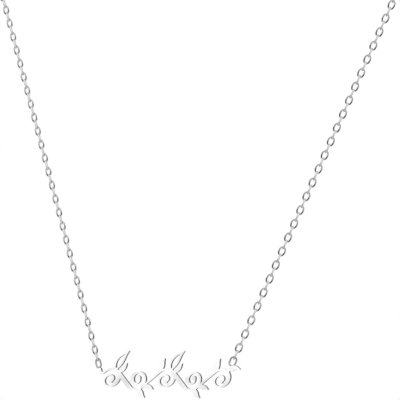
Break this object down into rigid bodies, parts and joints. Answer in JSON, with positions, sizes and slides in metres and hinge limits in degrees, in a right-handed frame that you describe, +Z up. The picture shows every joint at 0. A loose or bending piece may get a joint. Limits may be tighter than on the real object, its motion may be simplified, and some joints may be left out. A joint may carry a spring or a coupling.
{
  "type": "nameplate necklace",
  "caption": "Fine cable-chain necklace in its worn shape, with a flat pierced vine-scroll plate held between two soldered rings and a plain ring clasp at the nape.",
  "frame": {"origin": "the middle of the loop at the nape, where the necklace sits on the back of the neck", "axes": "+Z up, -Y towards the front where the plate hangs, +X towards the wearer's left"},
  "size_m": [0.1061, 0.1035, 0.1329],
  "materials": {
    "plate_silver": "polished flat faces, bright edges",
    "wire_silver": "polished drawn wire"
  },
  "bodies": {
    "root": {"nameplate": "plate_silver", "chain_left": "wire_silver", "chain_right": "wire_silver", "clasp": "wire_silver", "end_ring": "wire_silver"}
  },
  "joints": []
}
